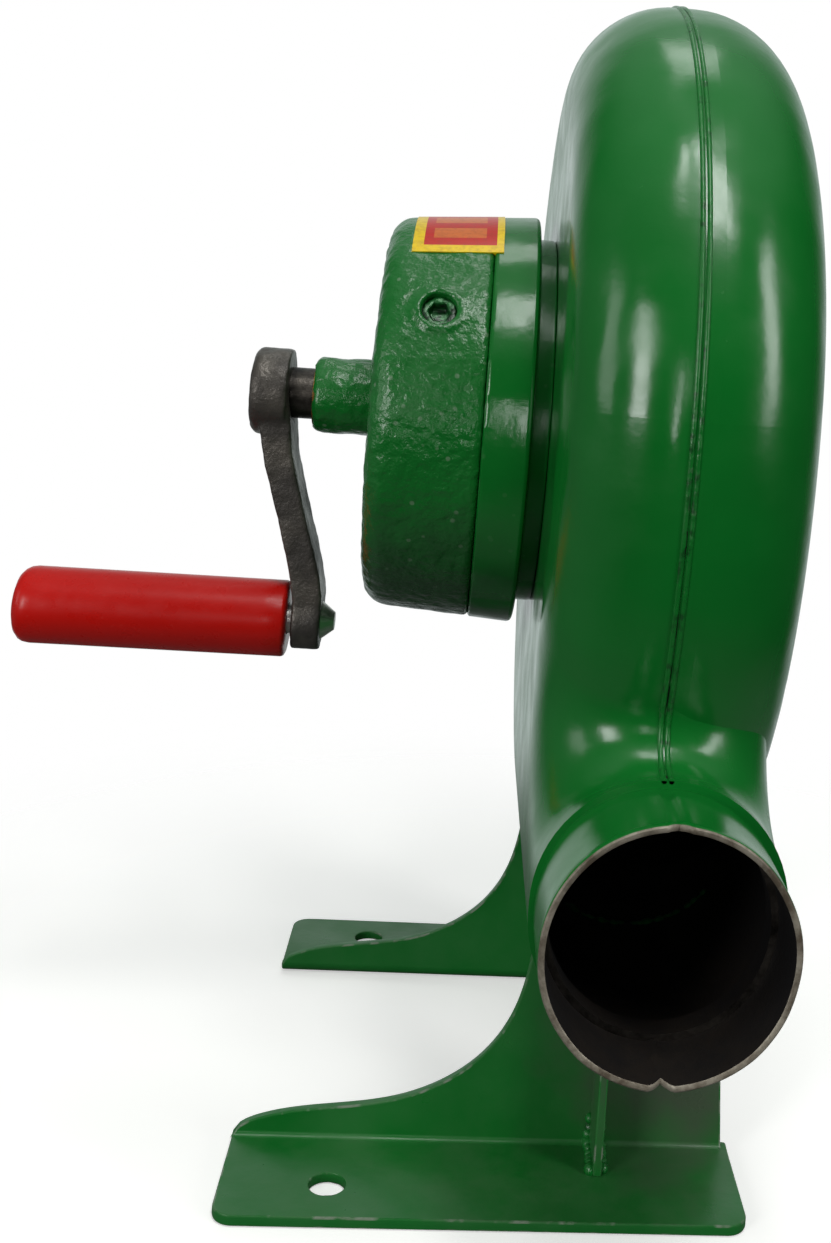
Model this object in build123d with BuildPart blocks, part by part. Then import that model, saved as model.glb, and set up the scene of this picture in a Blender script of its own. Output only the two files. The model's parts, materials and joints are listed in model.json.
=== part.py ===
from build123d import *
import math
import os

# Hand-cranked forge blower: a welded sheet-steel scroll on two folded feet, a cast gear case on its
# side, and a dished crank arm with a loose plastic grip that drives a paddle fan through two gear pairs.
# Millimetres. The origin is midway between the two foot bolt holes, on the floor plane. +Z is up, -Y is
# the way the air leaves, and the crank is at the -X end of the shafts.

# ---------------------------------------------------------------- driving dimensions
seam_x = 67.0            # plane where the two pressed halves of the scroll meet
axis_z = 179.0           # height of the fan shaft
crank_z = 181.5          # height of the crank shaft, a little above the fan shaft

sheet = 1.5              # scroll sheet thickness
gear_half, inlet_half = 27.5, 32.5   # depth of each pressed half, from the seam to its flat side
rim_round, inlet_rim = 27.0, 28.0    # radius of the rim on the gear half and neck, and on the inlet half
neck_half = 28.0         # depth of the inlet half along the neck
neck_z, neck_r = 84.9, 28.0       # outlet neck pressed in one with the halves
back_z, back_r = 176.1, 119.2     # circle of the scroll's back, from its bottom to its top
front_z, front_r = 189.3, 106.0   # circle from the top round to the front
low_r = front_z - (neck_z - neck_r)   # tall radius of the ellipse from the front down to the bottom

neck_end = 103.0         # how far forward the neck's shoulder stands
tongue_r = 9.0           # rounding where the scroll's front meets the top of the neck
spigot_r, spigot_end = 25.0, 107.5
sleeve_r, sleeve_wall = 26.5, 1.5
sleeve_start, sleeve_end = 103.0, 125.0
inlet_r = 30.0

case_right = seam_x - 32.2        # gear case base, the face towards the scroll
case_joint = seam_x - 44.2
case_left = seam_x - 72.5
base_r_right, base_r_left = 56.0, 55.2
cover_r_right, cover_r_left = 55.0, 53.0
cavity_r = 48.4
base_floor = 3.8
cover_floor = 5.0
boss_r, boss_end = 10.5, seam_x - 90.8

foot_left, foot_right = seam_x - 92.0, seam_x + 31.0
foot_sheet = 2.5
web_y = 46.3             # outer face of each web
flange_y = 77.5          # free edge of each flange
bolt_y, bolt_r = 65.0, 4.25

gear_module = 0.8
pressure_angle = math.radians(25)
backlash = 0.20
crank_teeth, lay_pinion_teeth = 56, 12
lay_wheel_teeth, fan_pinion_teeth = 52, 12

shaft_r = 7.0            # crank journal
running = 0.05           # radial clearance of every running fit
fan_shaft_r = 4.0
stud_r = 2.5

arm_throw = 62.5         # crank shaft to grip pin
grip_z = crank_z - arm_throw
grip_r = 10.5
grip_left, grip_right = seam_x - 166.0, seam_x - 93.2
pin_r = 4.0

fan_r = 80.0
blade_count = 8

os.makedirs("parts", exist_ok=True)


def write(piece, label):
    """Name a finished piece and write its STEP file."""
    piece.part.label = label
    export_step(piece.part, f"parts/{label}.step")


def across(x):
    """Plane square to the shafts, at x. Its own axes are Y and Z."""
    return Plane.YZ.offset(x)


def facing(y):
    """Plane square to the outlet, at y, with its normal towards -Y. Its own axes are X and Z."""
    return Plane.XZ.offset(-y)


def disc(x_start, length, radius, y=0.0, z=axis_z):
    """Plain round bar along X."""
    with BuildPart() as bar:
        with BuildSketch(across(x_start)):
            with Locations((y, z)):
                Circle(radius)
        extrude(amount=length)
    return bar.part


def hexagon_bar(x_start, length, across_flats, y, z):
    with BuildPart() as bar:
        with BuildSketch(across(x_start)):
            with Locations((y, z)):
                RegularPolygon(across_flats / 2, 6, major_radius=False)
        extrude(amount=length)
    return bar.part


# ---------------------------------------------------------------- scroll
def outline(inset):
    """Outline of the scroll and its neck in the axes (Y, Z): back circle, front circle, ellipse, neck."""
    top, bottom = neck_z + neck_r - inset, neck_z - neck_r + inset
    end = -(neck_end - max(inset, 0))
    meet = 180 + math.degrees(math.asin((front_z - top) / (low_r - inset)))
    CenterArc((0, back_z), back_r - inset, -90, 180)
    CenterArc((0, front_z), front_r - inset, 90, 90)
    lower = EllipticalCenterArc((0, front_z), front_r - inset, low_r - inset, start_angle=180, arc_size=meet - 180)
    Polyline(lower @ 1, (end, top), (end, bottom), (0, bottom))


def profile(x_start, inset):
    """Sketch of the outline on the plane at x_start, its tongue rounded."""
    with BuildSketch(across(x_start)) as flat:
        with BuildLine():
            outline(inset)
        make_face()
        tongue = flat.vertices().filter_by(lambda v: abs(v.Y - (neck_z + neck_r - inset)) < 0.01)
        fillet(tongue.sort_by(Axis.X)[-1], radius=tongue_r + inset)
    return flat.sketch


def inlet_bulge(inset):
    """The inlet half's deeper pressing, a plain oval without the neck, shrunk by inset."""
    with BuildPart() as bulge:
        with BuildSketch(across(seam_x)):
            with BuildLine():
                CenterArc((0, back_z), back_r - inset, -90, 180)
                CenterArc((0, front_z), front_r - inset, 90, 90)
                EllipticalCenterArc((0, front_z), front_r - inset, low_r - inset, start_angle=180, arc_size=90)
            make_face()
        extrude(amount=inlet_half - inset)
        fillet(bulge.faces().sort_by(Axis.X)[-1].edges(), radius=inlet_rim - inset)
    return bulge.part


def air_body(inset, reach):
    """Solid of the scroll and its outlet, shrunk by inset; reach carries the mouth past its end."""
    with BuildPart() as body:
        add(profile(seam_x - gear_half + inset, inset))
        extrude(amount=gear_half + neck_half - 2 * inset, dir=(1, 0, 0))
        rim = body.faces().filter_by(Axis.X).edges()
        fillet(rim.filter_by(lambda e: e.center().Y > -neck_end + 3), radius=rim_round - inset)
        add(inlet_bulge(inset))
        with BuildSketch(facing(-neck_end + 20)):
            with Locations((seam_x, neck_z)):
                Circle(spigot_r - inset)
        extrude(amount=spigot_end - neck_end + 20 + reach)
    return body.part


outer_body = air_body(0, 0)
air_space = air_body(sheet, 1)

with BuildPart() as scroll_shell:
    add(outer_body)
    add(air_space, mode=Mode.SUBTRACT)

with BuildPart() as scroll_gear_side:
    add(scroll_shell.part)
    split(bisect_by=Plane.YZ.offset(seam_x), keep=Keep.BOTTOM)
    # hole that the gear case's nose passes through, and the four case bolts
    with BuildSketch(across(seam_x - gear_half - 1)):
        with Locations((0, axis_z)):
            Circle(14.0)
            with PolarLocations(40, 4, start_angle=45):
                Circle(2.6)
    extrude(amount=sheet + 2, mode=Mode.SUBTRACT)
write(scroll_gear_side, "scroll_gear_side")

with BuildPart() as scroll_inlet_side:
    add(scroll_shell.part)
    split(bisect_by=Plane.YZ.offset(seam_x), keep=Keep.TOP)
    with BuildSketch(across(seam_x + inlet_half - sheet - 1)):
        with Locations((0, axis_z)):
            Circle(inlet_r + 2.5)
    extrude(amount=sheet + 2, mode=Mode.SUBTRACT)
write(scroll_inlet_side, "scroll_inlet_side")

# Bead ground along the joint of the two halves, right round the rim and along the neck.
bead_half, bead_rise = 1.1, 0.8
with BuildPart() as seam_bead:
    add(profile(seam_x - bead_half, -bead_rise))
    extrude(amount=2 * bead_half, dir=(1, 0, 0))
    add(outer_body, mode=Mode.SUBTRACT)
write(seam_bead, "seam_bead")

# Rolled lip round the inlet.
with BuildPart() as inlet_lip:
    with BuildSketch(Plane.XZ):
        with BuildLine():
            Polyline((seam_x + inlet_half, axis_z + inlet_r + 6), (seam_x + inlet_half, axis_z + inlet_r + 2.5),
                     (seam_x + inlet_half - sheet, axis_z + inlet_r + 2.5),
                     (seam_x + inlet_half - sheet, axis_z + inlet_r),
                     (seam_x + inlet_half + 4, axis_z + inlet_r))
            ThreePointArc((seam_x + inlet_half + 4, axis_z + inlet_r),
                          (seam_x + inlet_half + 5.2, axis_z + inlet_r + 1.2),
                          (seam_x + inlet_half + 4, axis_z + inlet_r + 2.4))
            Polyline((seam_x + inlet_half + 4, axis_z + inlet_r + 2.4),
                     (seam_x + inlet_half + 1.5, axis_z + inlet_r + 3.2),
                     (seam_x + inlet_half + 1.5, axis_z + inlet_r + 6),
                     (seam_x + inlet_half, axis_z + inlet_r + 6))
        make_face()
    revolve(axis=Axis((0, 0, axis_z), (1, 0, 0)), revolution_arc=360)
write(inlet_lip, "inlet_lip")

# Outlet sleeve: a short rolled tube over the spigot, welded up against the neck's shoulder.
with BuildPart() as outlet_sleeve:
    with BuildSketch(facing(-sleeve_start)):
        with Locations((seam_x, neck_z)):
            Circle(sleeve_r)
            Circle(sleeve_r - sleeve_wall, mode=Mode.SUBTRACT)
    extrude(amount=sleeve_end - sleeve_start)
    fillet(outlet_sleeve.edges().group_by(Axis.Y)[0], radius=0.4)
write(outlet_sleeve, "outlet_sleeve")


# ---------------------------------------------------------------- feet
def foot(side):
    """Folded foot: upright web under the scroll and a flange outwards. side is -1 in front, +1 behind."""
    with BuildPart() as bracket:
        with BuildSketch(across(foot_left)):
            with BuildLine():
                Polyline((side * (web_y - foot_sheet), 3.5), (side * (web_y - foot_sheet), 92),
                         (side * web_y, 92), (side * web_y, foot_sheet + 1.2))
                RadiusArc((side * web_y, foot_sheet + 1.2), (side * (web_y + 1.2), foot_sheet), -side * 1.2)
                Polyline((side * (web_y + 1.2), foot_sheet), (side * flange_y, foot_sheet),
                         (side * flange_y, 0), (side * (web_y - foot_sheet + 3.5), 0))
                RadiusArc((side * (web_y - foot_sheet + 3.5), 0), (side * (web_y - foot_sheet), 3.5), side * 3.5)
            make_face()
        extrude(amount=foot_right - foot_left)
        # side view of the web: low at the gear end, sweeping up to cradle the scroll
        with BuildSketch(facing(100)):
            with BuildLine():
                Polyline((foot_left, -1), (foot_left, 2.6))
                Line((foot_left, 2.6), (foot_left + 1.5, 4.6))
                Spline((foot_left + 1.5, 4.6), (foot_left + 7, 7.0), (foot_left + 40, 12.5), (foot_left + 59, 23),
                       (foot_left + 68, 38), (foot_left + 71, 56), (foot_left + 72, 92),
                       tangents=((0.7, 0.5), (0, 1)))
                Polyline((foot_left + 72, 92), (foot_right - 8, 92), (foot_right - 1.6, 2.6), (foot_right, 2.6),
                         (foot_right, -1), (foot_left, -1))
            make_face()
        extrude(amount=200, mode=Mode.INTERSECT)
        fillet(bracket.edges().filter_by(Axis.Z).filter_by(lambda e: abs(abs(e.center().Y) - flange_y) < 0.01),
               radius=5)
        with BuildSketch(Plane.XY.offset(-1)):
            with Locations((0, side * bolt_y)):
                Circle(bolt_r)
        extrude(amount=foot_sheet + 2, mode=Mode.SUBTRACT)
        add(outer_body, mode=Mode.SUBTRACT)
        add(seam_bead.part, mode=Mode.SUBTRACT)
    return bracket


front_foot = foot(-1)
write(front_foot, "front_foot")
rear_foot = foot(1)
write(rear_foot, "rear_foot")

# Gusset from the front foot up to the underside of the outlet neck.
with BuildPart() as foot_gusset:
    with BuildSketch(across(seam_x - 4.2)):
        with BuildLine():
            Polyline((-web_y, foot_sheet + 1.2), (-web_y - 1.2, foot_sheet), (-60, foot_sheet), (-59, 70),
                     (-web_y, 70), (-web_y, foot_sheet + 1.2))
        make_face()
    extrude(amount=2.2)
    add(outer_body, mode=Mode.SUBTRACT)
    add(seam_bead.part, mode=Mode.SUBTRACT)
write(foot_gusset, "foot_gusset")


# ---------------------------------------------------------------- gear case
def turned(points):
    """Solid of revolution about the fan shaft's axis; points are (x, radius) from axis_z upwards."""
    with BuildPart() as solid:
        with BuildSketch(Plane.XZ):
            with BuildLine():
                Polyline(*[(x, axis_z + r) for x, r in points], close=True)
            make_face()
        revolve(axis=Axis((0, 0, axis_z), (1, 0, 0)), revolution_arc=360)
    return solid.part


lay_y, lay_z = 20.26, axis_z - 15.646     # layshaft, set by the two centre distances
screw_ring, screw_angles = 43.0, (60, 150, 240)
cover_inner = case_left + cover_floor
base_inner = case_right - base_floor
fan_bush_r = 6.5
nose_end = seam_x - 25.6


def ring_spots(angles, radius):
    return [(radius * math.cos(math.radians(a)), axis_z + radius * math.sin(math.radians(a))) for a in angles]


with BuildPart() as gear_case_base:
    add(turned([(case_right, 0), (case_right, base_r_right - 0.8), (case_right - 0.8, base_r_right),
                (case_joint + 0.6, base_r_left), (case_joint, base_r_left - 0.6), (case_joint, cavity_r),
                (base_inner, cavity_r), (base_inner, 0)]))
    # spacer pad against the scroll's side, and the nose that passes through it
    with BuildSketch(across(case_right)):
        with Locations((0, axis_z)):
            Circle(50.0)
    extrude(amount=seam_x - gear_half - case_right)
    with BuildSketch(across(case_right)):
        with Locations((0, axis_z)):
            Circle(13.9)
    extrude(amount=nose_end - case_right)
    # bearing boss inside, layshaft boss, pillars for the cover screws
    with BuildSketch(across(base_inner)):
        with Locations((0, axis_z)):
            Circle(9.5)
    extrude(amount=-11.8)
    with BuildSketch(across(base_inner)):
        with Locations((lay_y, lay_z)):
            Circle(5.5)
    extrude(amount=-12.6)
    with BuildSketch(across(base_inner)):
        with Locations(*ring_spots(screw_angles, screw_ring)):
            Circle(4.6)
        with Locations((0, axis_z)):
            Circle(cavity_r, mode=Mode.INTERSECT)
    extrude(amount=case_joint - base_inner)
    # bores: fan bushes, stud seat, cover screws, case bolts
    with BuildSketch(across(base_inner - 20)):
        with Locations((0, axis_z)):
            Circle(fan_bush_r)
        with Locations((lay_y, lay_z)):
            Circle(stud_r)
        with Locations(*ring_spots(screw_angles, screw_ring)):
            Circle(2.0)
        with Locations(*ring_spots((45, 135, 225, 315), 40)):
            Circle(2.6)
    extrude(amount=60, mode=Mode.SUBTRACT)
write(gear_case_base, "gear_case_base")

plug_x, plug_angle = seam_x - 57.0, 147.4
head_sink = 2.8          # depth of the cover screws' recesses
with BuildPart() as gear_case_cover:
    add(turned([(case_joint, cavity_r), (case_joint, cover_r_right - 0.6), (case_joint - 0.6, cover_r_right),
                (case_left, cover_r_left), (case_left, 0), (cover_inner, 0), (cover_inner, cavity_r)]))
    fillet(gear_case_cover.edges().filter_by(GeomType.CIRCLE).group_by(Axis.X)[0], radius=6.5)
    # crank boss
    with BuildSketch(across(case_left + 1)):
        with Locations((0, crank_z)):
            Circle(boss_r)
    extrude(amount=boss_end - case_left - 1)
    chamfer(gear_case_cover.edges().filter_by(GeomType.CIRCLE).group_by(Axis.X)[0], length=1.6)
    # screw pillars inside
    with BuildSketch(across(cover_inner)):
        with Locations(*ring_spots(screw_angles, screw_ring)):
            Circle(4.6)
        with Locations((0, axis_z)):
            Circle(cavity_r, mode=Mode.INTERSECT)
    extrude(amount=case_joint - cover_inner)
    with BuildSketch(across(boss_end - 5)):
        with Locations((0, crank_z)):
            Circle(8.6)
        with Locations(*ring_spots(screw_angles, screw_ring)):
            Circle(2.2)
    extrude(amount=40, mode=Mode.SUBTRACT)
    with BuildSketch(across(case_left - 1)):
        with Locations(*ring_spots(screw_angles, screw_ring)):
            Circle(3.8)
    extrude(amount=1 + head_sink, mode=Mode.SUBTRACT)
    # the crank bush's bore stops at the cavity, the screw holes run on through the pillars
    with BuildSketch(across(cover_inner)):
        with Locations(*ring_spots(screw_angles, screw_ring)):
            Circle(2.2)
    extrude(amount=case_joint - cover_inner, mode=Mode.SUBTRACT)
    # round pad and tapped hole for the filler plug
    plug_plane = Plane(origin=(plug_x, 0, axis_z), x_dir=(1, 0, 0),
                       z_dir=(0, math.cos(math.radians(plug_angle)), math.sin(math.radians(plug_angle))))
    with BuildSketch(plug_plane.offset(cavity_r + 1)):
        Circle(6.4)
    extrude(amount=54.9 - cavity_r - 1)
    with BuildSketch(plug_plane.offset(cavity_r - 3)):
        Circle(4.4)
    extrude(amount=20, mode=Mode.SUBTRACT)
write(gear_case_cover, "gear_case_cover")

# Filler plug, screwed in a little below its pad, with a hexagon socket.
with BuildPart() as filler_plug:
    with BuildSketch(plug_plane.offset(cavity_r + 0.3)):
        Circle(4.4)
    extrude(amount=4.2)
    with BuildSketch(plug_plane.offset(cavity_r + 4.5)):
        RegularPolygon(2.5, 6, major_radius=False)
    extrude(amount=-2.6, mode=Mode.SUBTRACT)
write(filler_plug, "filler_plug")

# Printed label wrapped over the top of the case, across the joint.
label_left, label_right = seam_x - 65.6, seam_x - 42.0
with BuildPart() as name_label:
    with BuildSketch(Plane.XZ):
        with BuildLine():
            r1 = cover_r_left + (cover_r_right - cover_r_left) * (label_left - case_left) / (case_joint - case_left)
            r2 = base_r_left + (base_r_right - base_r_left) * (label_right - case_joint) / (case_right - case_joint)
            Polyline((label_left, axis_z + r1 - 1), (label_left, axis_z + r1 + 0.25),
                     (label_right, axis_z + r2 + 0.25), (label_right, axis_z + r2 - 1), close=True)
        make_face()
    revolve(axis=Axis((0, 0, axis_z), (1, 0, 0)), revolution_arc=34)
label_solid = name_label.part.rotate(Axis((0, 0, axis_z), (1, 0, 0)), 2.4)
with BuildPart() as name_label:
    add(label_solid)
    add(gear_case_base.part, mode=Mode.SUBTRACT)
    add(gear_case_cover.part, mode=Mode.SUBTRACT)
write(name_label, "name_label")

# Cheese-head screws that hold the cover on, their heads sunk just below its face.
with BuildPart() as cover_screws:
    for y, z in ring_spots(screw_angles, screw_ring):
        add(disc(case_left + 0.3, head_sink - 0.3, 3.6, y, z))
        add(disc(case_left + head_sink, 33, 2.0, y, z))
    with BuildSketch(across(case_left + 0.3)):
        with Locations(*ring_spots(screw_angles, screw_ring)):
            Rectangle(7.4, 1.0)
    extrude(amount=1.2, mode=Mode.SUBTRACT)
write(cover_screws, "cover_screws")

# Bolts from inside the case into the scroll, and their thin nuts inside the scroll.
with BuildPart() as case_bolts:
    for y, z in ring_spots((45, 135, 225, 315), 40):
        add(hexagon_bar(base_inner - 3.4, 3.4, 8, y, z))
        add(disc(base_inner, seam_x - 23.0 - base_inner, 2.5, y, z))
write(case_bolts, "case_bolts")
with BuildPart() as case_nuts:
    for y, z in ring_spots((45, 135, 225, 315), 40):
        add(hexagon_bar(seam_x - gear_half + sheet, 2.6, 8, y, z))
        add(disc(seam_x - 40, 40, 2.5, y, z), mode=Mode.SUBTRACT)
write(case_nuts, "case_nuts")

# Bronze bushes: one for the crank shaft, two for the fan shaft.
with BuildPart() as crank_bush:
    add(disc(boss_end + 0.4, cover_inner - boss_end - 0.4, 8.6, 0, crank_z))
    add(disc(boss_end - 2, 40, shaft_r + running, 0, crank_z), mode=Mode.SUBTRACT)
write(crank_bush, "crank_bush")
for label, start, length in (("fan_bush_inner", base_inner - 11.8, 9.0), ("fan_bush_outer", nose_end - 7.0, 7.0)):
    with BuildPart() as fan_bush:
        add(disc(start, length, fan_bush_r))
        add(disc(start - 1, length + 2, fan_shaft_r + running), mode=Mode.SUBTRACT)
    write(fan_bush, label)
with BuildPart() as layshaft_stud:
    add(disc(cover_inner + 0.4, case_right - cover_inner - 0.4, stud_r, lay_y, lay_z))
write(layshaft_stud, "layshaft_stud")


# ---------------------------------------------------------------- gears
def involute(angle):
    return math.tan(angle) - angle


def gear_points(teeth, centre, phase):
    """Closed outline of an involute spur gear, with tooth 0 centred on phase (radians)."""
    pitch_r = gear_module * teeth / 2
    base_r = pitch_r * math.cos(pressure_angle)
    tip_r = pitch_r + 0.92 * gear_module
    root_r = pitch_r - 1.2 * gear_module
    half_pitch = math.pi / (2 * teeth) - backlash / (4 * pitch_r)
    low = max(root_r, base_r)

    def half_angle(r):
        return half_pitch + involute(pressure_angle) - involute(math.acos(min(1, base_r / r)))

    radii = [root_r] + [low + (tip_r - low) * step / 4 for step in range(0 if low > root_r + 0.02 else 1, 5)]
    points = []
    for tooth in range(teeth):
        middle = phase + 2 * math.pi * tooth / teeth
        flank = [(r, half_angle(max(r, low))) for r in radii]
        for r, a in flank:
            points.append((centre[0] + r * math.cos(middle - a), centre[1] + r * math.sin(middle - a)))
        for r, a in reversed(flank):
            points.append((centre[0] + r * math.cos(middle + a), centre[1] + r * math.sin(middle + a)))
    return points


def gear(x_start, width, teeth, centre, phase):
    with BuildPart() as blank:
        with BuildSketch(across(x_start)):
            with BuildLine():
                Polyline(*gear_points(teeth, centre, phase), close=True)
            make_face()
        extrude(amount=width)
    return blank.part


crank_centre, lay_centre, fan_centre = (0.0, crank_z), (lay_y, lay_z), (0.0, axis_z)
to_lay = math.atan2(lay_z - crank_z, lay_y)
to_fan = math.atan2(axis_z - lay_z, -lay_y)

with BuildPart() as crank_gear:
    add(gear(seam_x - 66.5, 8.0, crank_teeth, crank_centre, to_lay))
    add(disc(seam_x - 70, 20, 6.0, 0, crank_z), mode=Mode.SUBTRACT)
write(crank_gear, "crank_gear")

with BuildPart() as cluster_gear:
    add(gear(seam_x - 67.0, 10.6, lay_pinion_teeth, lay_centre, to_lay + math.pi + math.pi / lay_pinion_teeth))
    add(gear(seam_x - 56.4, 7.0, lay_wheel_teeth, lay_centre, to_fan))
    add(disc(seam_x - 70, 40, stud_r + running, lay_y, lay_z), mode=Mode.SUBTRACT)
write(cluster_gear, "cluster_gear")

# Fan shaft with its pinion cut on the end.
with BuildPart() as fan_shaft:
    add(gear(seam_x - 57.0, 8.2, fan_pinion_teeth, fan_centre, to_fan + math.pi + math.pi / fan_pinion_teeth))
    add(disc(seam_x - 48.8, 58.8, fan_shaft_r))
    chamfer(fan_shaft.edges().filter_by(GeomType.CIRCLE).group_by(Axis.X)[-1], length=0.6)
write(fan_shaft, "fan_shaft")

# ---------------------------------------------------------------- crank
arm_left = seam_x - 107.0
arm_recess = 3.6         # recess in the hub for the retaining screw's head and washer
with BuildPart() as crank_shaft:
    add(disc(arm_left + 10.0, seam_x - 67.2 - arm_left - 10.0, shaft_r, 0, crank_z))
    add(disc(seam_x - 67.2, 9.4, 6.0, 0, crank_z))
    # squared end that the arm sits on
    with BuildSketch(across(arm_left + arm_recess + 0.2)):
        with Locations((0, crank_z)):
            Rectangle(9.6, 9.6)
    extrude(amount=10 - arm_recess)
    with BuildSketch(across(arm_left)):
        with Locations((0, crank_z)):
            Circle(2.5)
    extrude(amount=12, mode=Mode.SUBTRACT)
write(crank_shaft, "crank_shaft")

eye_left, eye_right = seam_x - 91.8, seam_x - 84.0
with BuildPart() as crank_arm:
    # side view: thick at the hub, dished towards the case, thin at the eye
    with BuildSketch(facing(20)):
        with BuildLine():
            Polyline((arm_left + 1, crank_z + 3), (arm_left + 10, crank_z + 3), (seam_x - 94.6, crank_z - 16))
            Spline((seam_x - 94.6, crank_z - 16), (seam_x - 89.6, crank_z - 34), (eye_right, grip_z + 8),
                   tangents=((0.25, -1), (0.15, -1)))
            Polyline((eye_right, grip_z + 8), (eye_right, grip_z - 3), (eye_left, grip_z - 3), (eye_left, grip_z + 6))
            Spline((eye_left, grip_z + 6), (seam_x - 97.4, crank_z - 34), (seam_x - 103.0, crank_z - 14),
                   (arm_left + 1, crank_z + 3), tangents=((-0.15, 1), (-0.2, 1)))
        make_face()
    extrude(amount=40)
    # front view: tapering from the hub to the eye
    with BuildSketch(across(arm_left - 2)):
        with BuildLine():
            Polyline((-9.5, crank_z), (-6.6, grip_z), (6.6, grip_z), (9.5, crank_z), close=True)
        make_face()
        with Locations((0, crank_z)):
            Circle(9.5)
        with Locations((0, grip_z)):
            Circle(7.6)
    extrude(amount=40, mode=Mode.INTERSECT)
    with BuildSketch(across(eye_left)):
        with Locations((0, grip_z)):
            Circle(8.0)
    extrude(amount=eye_right - eye_left)
    with BuildSketch(across(arm_left)):
        with Locations((0, crank_z)):
            Circle(12.0)
    extrude(amount=10.0)
    chamfer(crank_arm.edges().filter_by(GeomType.CIRCLE).group_by(Axis.X)[0], length=1.4)
    with BuildSketch(across(arm_left - 1)):
        with Locations((0, crank_z)):
            Rectangle(9.6, 9.6)
    extrude(amount=12, mode=Mode.SUBTRACT)
    with BuildSketch(across(arm_left - 1)):
        with Locations((0, crank_z)):
            Circle(7.4)
    extrude(amount=1 + arm_recess, mode=Mode.SUBTRACT)
    with BuildSketch(across(arm_left + 10)):
        with Locations((0, crank_z)):
            Circle(shaft_r + 0.6)
    extrude(amount=20, mode=Mode.SUBTRACT)
    with BuildSketch(across(eye_left - 1)):
        with Locations((0, grip_z)):
            Circle(pin_r)
    extrude(amount=10, mode=Mode.SUBTRACT)
write(crank_arm, "crank_arm")

with BuildPart() as arm_washer:
    add(disc(arm_left + arm_recess - 1.0, 1.0, 7.2, 0, crank_z))
    add(disc(arm_left, 8, 2.5, 0, crank_z), mode=Mode.SUBTRACT)
write(arm_washer, "arm_washer")
with BuildPart() as arm_screw:
    add(disc(arm_left + 0.2, arm_recess - 1.2, 4.8, 0, crank_z))
    add(disc(arm_left + arm_recess - 1.0, 9.4, 2.5, 0, crank_z))
    with BuildSketch(across(arm_left)):
        with Locations((0, crank_z)):
            Rectangle(9.8, 1.2)
            Rectangle(1.2, 9.8)
    extrude(amount=1.6, mode=Mode.SUBTRACT)
write(arm_screw, "arm_screw")

# Pin through the grip: large head in the grip's end, its other end upset over the eye into a blunt cone.
head_depth = 4.0
with BuildPart() as grip_pin:
    add(disc(grip_left + head_depth - 2.6, 2.4, 6.0, 0, grip_z))
    add(disc(grip_left + head_depth - 0.2, eye_right - grip_left - head_depth + 0.2, pin_r, 0, grip_z))
    with BuildSketch(across(eye_right)):
        with Locations((0, grip_z)):
            Circle(5.2)
    with BuildSketch(across(eye_right + 3.6)):
        with Locations((0, grip_z)):
            Circle(2.4)
    loft()
write(grip_pin, "grip_pin")

with BuildPart() as grip:
    add(disc(grip_left, grip_right - grip_left, grip_r, 0, grip_z))
    fillet(grip.edges().filter_by(GeomType.CIRCLE).group_by(Axis.X)[0], radius=3.0)
    fillet(grip.edges().filter_by(GeomType.CIRCLE).group_by(Axis.X)[-1], radius=1.6)
    add(disc(grip_left - 1, head_depth + 1, 6.6, 0, grip_z), mode=Mode.SUBTRACT)
    add(disc(grip_left, grip_right - grip_left + 1, pin_r + running, 0, grip_z), mode=Mode.SUBTRACT)
write(grip, "grip")

# ---------------------------------------------------------------- fan
hub_left = seam_x - 24.4
plate_x = seam_x - 21.0
with BuildPart() as fan_hub:
    add(disc(hub_left, plate_x - hub_left, 9.0))
    add(disc(plate_x, 24.0, 12.0))
    add(disc(hub_left - 1, 40, fan_shaft_r), mode=Mode.SUBTRACT)
write(fan_hub, "fan_hub")

with BuildPart() as fan_backplate:
    add(disc(plate_x - 1.5, 1.5, fan_r))
    add(disc(plate_x - 3, 6, 9.0), mode=Mode.SUBTRACT)
write(fan_backplate, "fan_backplate")

blade_right = seam_x + 18.0
for number in range(1, blade_count + 1):
    with BuildPart() as fan_blade:
        with BuildSketch(across(plate_x)):
            with BuildLine(mode=Mode.PRIVATE) as curve:
                ThreePointArc((13.2, 0), (48, 11), (fan_r - 1.5, 0))
            trace(curve.line, line_width=1.2)
        extrude(amount=blade_right - plate_x)
    turned_blade = fan_blade.part.rotate(Axis.X, 360 / blade_count * number)
    with BuildPart() as fan_blade:
        add(Location((0, 0, axis_z)) * turned_blade)
    write(fan_blade, f"fan_blade_{number}")

with BuildPart() as fan_front_ring:
    add(disc(blade_right, 1.2, fan_r))
    add(disc(blade_right - 1, 4, 44.0), mode=Mode.SUBTRACT)
write(fan_front_ring, "fan_front_ring")

with BuildPart() as fan_nut:
    add(hexagon_bar(plate_x + 24.0, 5.0, 10, 0, axis_z))
    add(disc(plate_x + 20, 20, fan_shaft_r), mode=Mode.SUBTRACT)
write(fan_nut, "fan_nut")
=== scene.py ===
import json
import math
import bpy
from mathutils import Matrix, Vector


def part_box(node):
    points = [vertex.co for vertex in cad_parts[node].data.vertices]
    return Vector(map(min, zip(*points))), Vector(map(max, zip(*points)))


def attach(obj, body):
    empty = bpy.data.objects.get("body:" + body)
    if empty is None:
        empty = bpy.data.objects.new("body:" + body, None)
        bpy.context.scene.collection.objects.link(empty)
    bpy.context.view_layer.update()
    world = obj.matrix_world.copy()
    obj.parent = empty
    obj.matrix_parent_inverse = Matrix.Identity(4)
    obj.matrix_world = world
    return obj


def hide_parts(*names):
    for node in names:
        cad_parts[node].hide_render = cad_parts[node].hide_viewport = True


bl_info = {
    "name": "Hand-Cranked Forge Blower",
    "version": (1, 0, 0),
    "blender": (4, 5, 0),
    "location": "3D View > Sidebar > Blower",
    "description": "Skins, welds, castings and finishes of a hand-cranked forge blower, built round its fixed frame",
    "category": "Object",
}

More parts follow.
